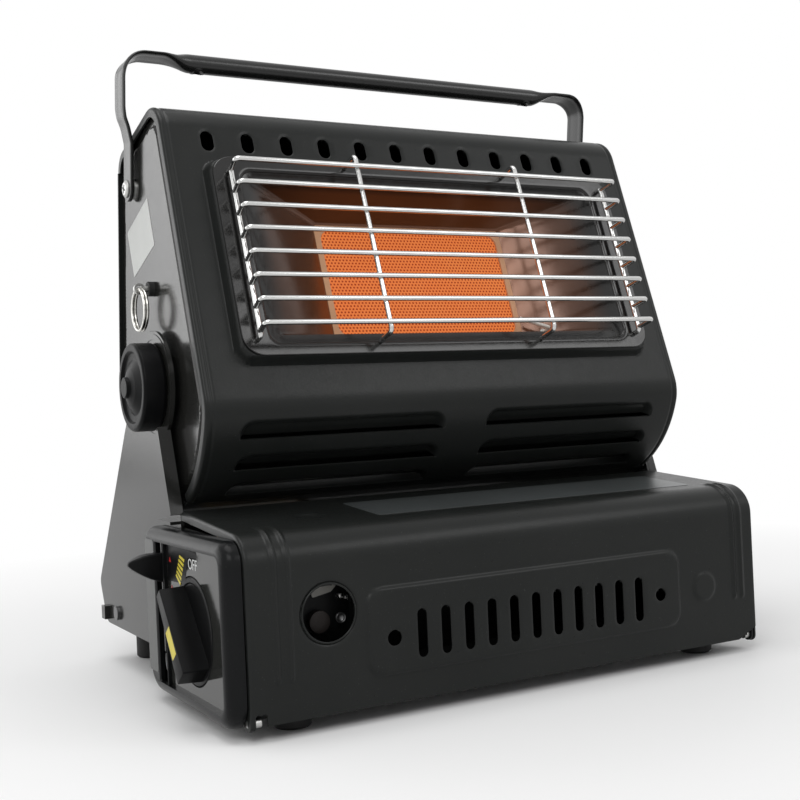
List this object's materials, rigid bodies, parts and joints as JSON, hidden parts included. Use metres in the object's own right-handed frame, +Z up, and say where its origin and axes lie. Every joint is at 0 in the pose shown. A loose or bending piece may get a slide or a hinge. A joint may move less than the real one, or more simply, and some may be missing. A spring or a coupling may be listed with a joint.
{
  "type": "portable gas heater",
  "caption": "Tabletop gas heater with a tilting infrared burner head, wire guard, swinging handle and a cartridge bay under a hinged lid.",
  "frame": {"origin": "centre of the footprint of its bounding box, at floor level", "axes": "+Z up, -Y towards the user in front of the burner, +X to the user's right; controls on the -X side"},
  "size_m": [0.3064, 0.216, 0.3082],
  "materials": {
    "steel_black": "satin black baked enamel with a fine orange-peel texture",
    "tray_steel": "satin black paint",
    "rubber": "matt black rubber",
    "screw_dark": "black oxide steel",
    "bezel_plastic": "moulded black plastic, satin",
    "face_plastic": "grey control plate",
    "dial_plastic": "moulded black plastic",
    "knob_plastic": "moulded black plastic",
    "zinc_steel": "zinc plated steel",
    "ring_steel": "nickel plated spring steel",
    "regulator_metal": "dark die casting",
    "piezo_white": "white plastic",
    "magnet": "magnet in a steel holder",
    "brass": "brass",
    "plaque_ceramic": "porous ceramic honeycomb, glowing orange",
    "enamel": "glossy dark brown heat-proof enamel",
    "electrode_ceramic": "white ceramic with a steel wire",
    "guard_chrome": "bright chrome plate"
  },
  "bodies": {
    "root": {"base_tray": "tray_steel", "bay_wall": "tray_steel", "rear_deck": "tray_steel", "cradle_rails": "tray_steel", "lid_catch": "magnet", "stand_plate_left": "steel_black", "stand_plate_right": "steel_black", "front_feet": "rubber", "rear_feet": "rubber", "deck_screws": "screw_dark", "control_bezel": "bezel_plastic", "control_face": "face_plastic", "regulator_body": "regulator_metal", "regulator_bracket": "tray_steel", "guide_rods": "zinc_steel", "piezo_igniter": "piezo_white", "gas_tube": "brass", "swivel_union": "brass"},
    "head": {"burner_tube": "brass", "injector": "brass", "venturi_tube": "zinc_steel", "burner_box": "zinc_steel", "ceramic_plaque": "plaque_ceramic", "plaque_frame": "enamel", "reflector_pan": "enamel", "electrode": "electrode_ceramic", "head_wrap": "steel_black", "head_side_left": "steel_black", "head_side_right": "steel_black", "rear_cover": "steel_black", "rear_guard": "steel_black", "wire_guard": "guard_chrome", "tilt_washers": "rubber", "tilt_nuts": "zinc_steel", "handle_screws": "screw_dark", "handle_washers": "zinc_steel", "ring_pin": "zinc_steel", "ring_grommet": "rubber", "head_screws": "screw_dark"},
    "handle": {"carry_handle": "steel_black"},
    "ring": {"split_ring": "ring_steel"},
    "lid": {"cartridge_lid": "steel_black", "lid_pins": "zinc_steel"},
    "lever": {"cartridge_lever": "dial_plastic"},
    "fork": {"cartridge_fork": "zinc_steel"},
    "dial": {"dial_knob": "dial_plastic", "dial_spindle": "zinc_steel"},
    "tilt_knob_l": {"tilt_knob_left": "knob_plastic", "tilt_bolt_left": "zinc_steel"},
    "tilt_knob_r": {"tilt_knob_right": "knob_plastic", "tilt_bolt_right": "zinc_steel"}
  },
  "joints": [
    {"name": "head_tilt", "type": "hinge", "parent": "root", "child": "head", "pos_m": [0.0038, -0.00267, 0.1435], "axis": [1, 0, 0], "range_deg": [-71, 14]},
    {"name": "handle_swing", "type": "hinge", "parent": "head", "child": "handle", "pos_m": [0.0038, 0.02981, 0.24146], "axis": [1, 0, 0], "range_deg": [-135, 60]},
    {"name": "ring_swing", "type": "hinge", "parent": "head", "child": "ring", "pos_m": [-0.1335, 0.00628, 0.19001], "axis": [0, 1, 0], "range_deg": [0, 95]},
    {"name": "lid_hinge", "type": "hinge", "parent": "root", "child": "lid", "pos_m": [0.0038, -0.10217, 0.0075], "axis": [1, 0, 0], "range_deg": [0, 90]},
    {"name": "lever_slide", "type": "slide", "parent": "root", "child": "lever", "axis": [0, 0, 1], "range_m": [-0.043, 0]},
    {"name": "fork_slide", "type": "slide", "parent": "root", "child": "fork", "axis": [1, 0, 0], "range_m": [-0.006, 0]},
    {"name": "dial_turn", "type": "hinge", "parent": "root", "child": "dial", "pos_m": [-0.1312, -0.06107, 0.0389], "axis": [1, 0, 0], "range_deg": [-150, 0]},
    {"name": "tilt_knob_left_turn", "type": "hinge", "parent": "root", "child": "tilt_knob_l", "pos_m": [-0.1312, -0.00267, 0.1435], "axis": [1, 0, 0], "range_deg": [-360, 0]},
    {"name": "tilt_knob_right_turn", "type": "hinge", "parent": "root", "child": "tilt_knob_r", "pos_m": [0.1388, -0.00267, 0.1435], "axis": [1, 0, 0], "range_deg": [0, 360]}
  ],
  "couplings": [
    {"joint": "fork_slide", "follows": "lever_slide", "ratio": 0.13953}
  ]
}
